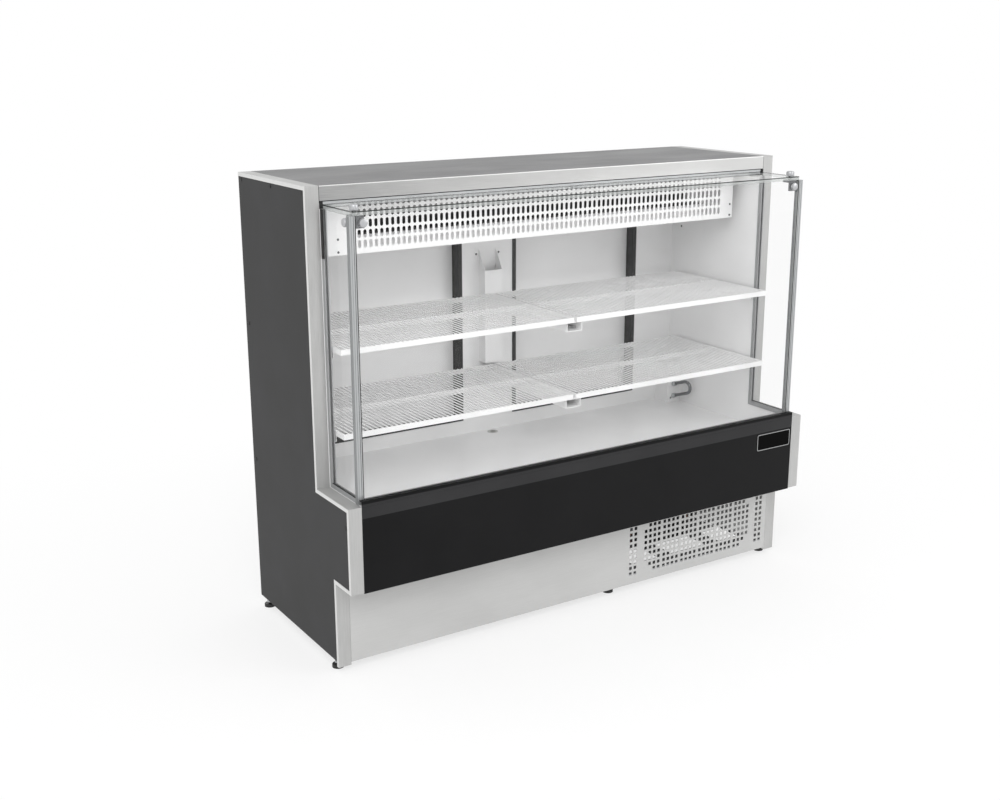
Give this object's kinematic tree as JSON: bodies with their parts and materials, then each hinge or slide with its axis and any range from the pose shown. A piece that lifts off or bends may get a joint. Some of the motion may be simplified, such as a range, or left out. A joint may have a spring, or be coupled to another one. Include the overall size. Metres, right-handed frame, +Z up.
{
  "type": "refrigerated display counter",
  "caption": "Glass-fronted refrigerated display counter with a stepped cabinet, wire shelves, slotted air duct, rear doors and a machine compartment behind a grille.",
  "frame": {"origin": "centre of the footprint on the floor, in the middle of the overall length, width and height box's base", "axes": "+Z up, -Y towards the customer's side with the glass front, +X to the right seen from the customer's side"},
  "size_m": [1.5, 0.672, 1.225],
  "materials": {
    "brushed_frame": "satin",
    "worktop_steel": "satin",
    "dark_sheet": "satin",
    "dark_panel": "satin",
    "white_sheet": "satin",
    "kick_grey": "satin",
    "galvanised": "satin",
    "aluminium": "satin",
    "steel": "polished",
    "glass": "clear",
    "black_plastic": "matte",
    "grey_plastic": "matte",
    "white_plastic": "matte",
    "foam": "matte",
    "rubber": "matte",
    "copper": "satin",
    "black_enamel": "gloss"
  },
  "bodies": {
    "cabinet": {"side_frame_left": "brushed_frame", "side_frame_right": "brushed_frame", "side_sheets": "dark_sheet", "screw_caps": "black_plastic", "worktop": "worktop_steel", "foam": "foam", "side_liners": "white_sheet", "ceiling_liner": "white_sheet", "back_liner": "white_sheet", "back_sheet": "galvanised", "door_breakers": "black_plastic", "floor_pan": "white_sheet", "compartment_ceiling": "galvanised", "floor_drain": "white_plastic", "hinge_brackets": "steel", "wall_cover": "white_sheet", "evaporator_tray": "aluminium", "evaporator_coil": "aluminium", "evaporator_fan_motors": "black_enamel", "duct_cover": "white_sheet", "service_box": "white_sheet", "service_loop": "rubber", "shelf_lower_left": "white_sheet", "shelf_lower_right": "white_sheet", "shelf_upper_left": "white_sheet", "shelf_upper_right": "white_sheet", "shelf_arms": "white_sheet", "front_glass": "glass", "side_glass": "glass", "top_glass": "glass", "corner_posts": "aluminium", "glass_channels": "aluminium", "corner_clamps": "grey_plastic", "clamp_knobs": "grey_plastic", "front_panel": "dark_panel", "front_rail": "dark_panel", "badge_plate": "dark_panel", "kick_panel": "kick_grey", "feet": "black_plastic", "base_tray": "galvanised", "compressor": "black_enamel", "condenser": "aluminium", "condenser_fan_motor": "black_enamel", "refrigerant_tubes": "copper", "control_box": "galvanised", "cable_gland": "black_plastic", "screws": "steel"},
    "door_left": {"door_panel_left": "brushed_frame", "door_liner_left": "white_sheet", "door_gasket_left": "rubber", "door_handle_left": "steel"},
    "evaporator_fan_left": {"evaporator_fan_left": "black_plastic"},
    "door_right": {"door_panel_right": "brushed_frame", "door_liner_right": "white_sheet", "door_gasket_right": "rubber", "door_handle_right": "steel"},
    "evaporator_fan_right": {"evaporator_fan_right": "black_plastic"},
    "condenser_fan": {"condenser_fan": "aluminium"},
    "thermostat_knob": {"thermostat_knob": "black_plastic"},
    "main_switch": {"main_switch": "black_plastic"}
  },
  "joints": [
    {"name": "door_left_hinge", "type": "hinge", "parent": "cabinet", "child": "door_left", "pos_m": [-0.57, 0.287, 0.438], "axis": [0, 0, 1], "range_deg": [0, 110]},
    {"name": "evaporator_fan_left_spin", "type": "hinge", "parent": "cabinet", "child": "evaporator_fan_left", "pos_m": [-0.3, 0.179, 1.1325], "axis": [0, 1, 0], "continuous": true},
    {"name": "door_right_hinge", "type": "hinge", "parent": "cabinet", "child": "door_right", "pos_m": [0.57, 0.287, 0.438], "axis": [0, 0, -1], "range_deg": [0, 110]},
    {"name": "evaporator_fan_right_spin", "type": "hinge", "parent": "cabinet", "child": "evaporator_fan_right", "pos_m": [0.3, 0.179, 1.1325], "axis": [0, 1, 0], "continuous": true},
    {"name": "condenser_fan_spin", "type": "hinge", "parent": "cabinet", "child": "condenser_fan", "pos_m": [0.455, 0.018, 0.1405], "axis": [0, 1, 0], "continuous": true},
    {"name": "thermostat_turn", "type": "hinge", "parent": "cabinet", "child": "thermostat_knob", "pos_m": [0.068, 0.2383, 0.294], "axis": [0, -1, 0], "range_deg": [0, 300]},
    {"name": "main_switch_rock", "type": "hinge", "parent": "cabinet", "child": "main_switch", "pos_m": [0.15, 0.229, 0.294], "axis": [1, 0, 0], "range_deg": [0, 12]}
  ]
}
